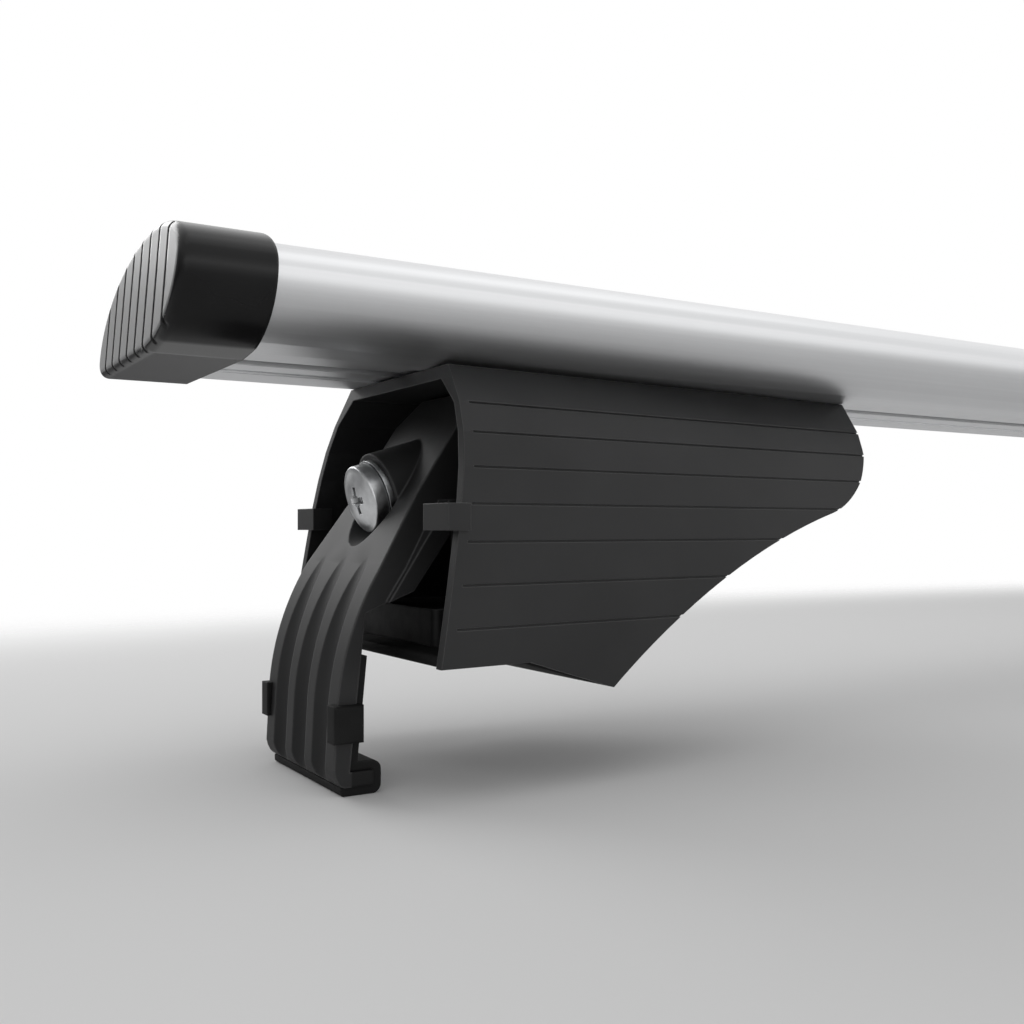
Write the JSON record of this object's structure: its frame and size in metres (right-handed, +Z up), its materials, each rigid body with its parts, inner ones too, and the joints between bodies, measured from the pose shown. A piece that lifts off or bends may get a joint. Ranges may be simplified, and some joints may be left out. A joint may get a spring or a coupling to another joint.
{
  "type": "roof rack",
  "caption": "Wing-section aluminium crossbar on sliding feet whose screw-driven claws hook under a car's roof rails.",
  "frame": {"origin": "middle of the bar's length and of its slot, at the level of the lowest points of the claws' liners", "axes": "+X along the bar, +Y along the rails with the bar's blunt nose towards -Y, +Z up"},
  "size_m": [1.2088, 0.108, 0.1455],
  "materials": {
    "bar_aluminium": "satin anodised",
    "cap_plastic": "satin moulded",
    "shell_plastic": "satin moulded",
    "pad_rubber": "matte",
    "frame_casting": "black coated casting",
    "zinc_steel": "zinc plated",
    "claw_plastic": "fine grained",
    "liner_rubber": "matte"
  },
  "bodies": {
    "crossbar": {"crossbar": "bar_aluminium", "left_end_cap": "cap_plastic", "right_end_cap": "cap_plastic"},
    "left_foot": {"left_foot_shell": "shell_plastic", "left_seat_pad": "pad_rubber", "left_foot_frame": "frame_casting", "left_clamp_nut": "zinc_steel", "left_slot_bolt": "zinc_steel", "left_slot_washer": "zinc_steel", "left_slot_nut": "zinc_steel"},
    "left_claw": {"left_claw": "claw_plastic", "left_claw_liner": "liner_rubber", "left_clamp_washer": "zinc_steel"},
    "left_bolt": {"left_clamp_bolt": "zinc_steel"},
    "right_foot": {"right_foot_shell": "shell_plastic", "right_seat_pad": "pad_rubber", "right_foot_frame": "frame_casting", "right_clamp_nut": "zinc_steel", "right_slot_bolt": "zinc_steel", "right_slot_washer": "zinc_steel", "right_slot_nut": "zinc_steel"},
    "right_claw": {"right_claw": "claw_plastic", "right_claw_liner": "liner_rubber", "right_clamp_washer": "zinc_steel"},
    "right_bolt": {"right_clamp_bolt": "zinc_steel"}
  },
  "joints": [
    {"name": "left_foot_slide", "type": "slide", "parent": "crossbar", "child": "left_foot", "axis": [1, 0, 0], "range_m": [-0.045, 0.15]},
    {"name": "left_claw_slide", "type": "slide", "parent": "left_foot", "child": "left_claw", "axis": [-0.9563, 0, -0.2924], "range_m": [0, 0.01125]},
    {"name": "left_bolt_turn", "type": "hinge", "parent": "left_claw", "child": "left_bolt", "pos_m": [-0.5326, 0, 0.0811], "axis": [-0.9563, 0, -0.2924], "range_deg": [0, 3241]},
    {"name": "right_foot_slide", "type": "slide", "parent": "crossbar", "child": "right_foot", "axis": [-1, 0, 0], "range_m": [-0.045, 0.15]},
    {"name": "right_claw_slide", "type": "slide", "parent": "right_foot", "child": "right_claw", "axis": [0.9563, 0, -0.2924], "range_m": [0, 0.01125]},
    {"name": "right_bolt_turn", "type": "hinge", "parent": "right_claw", "child": "right_bolt", "pos_m": [0.5326, 0, 0.0811], "axis": [0.9563, 0, -0.2924], "range_deg": [0, 3241]}
  ],
  "couplings": [
    {"joint": "left_bolt_turn", "follows": "left_claw_slide", "rad_per_m": 5026.5},
    {"joint": "right_bolt_turn", "follows": "right_claw_slide", "rad_per_m": 5026.5}
  ]
}
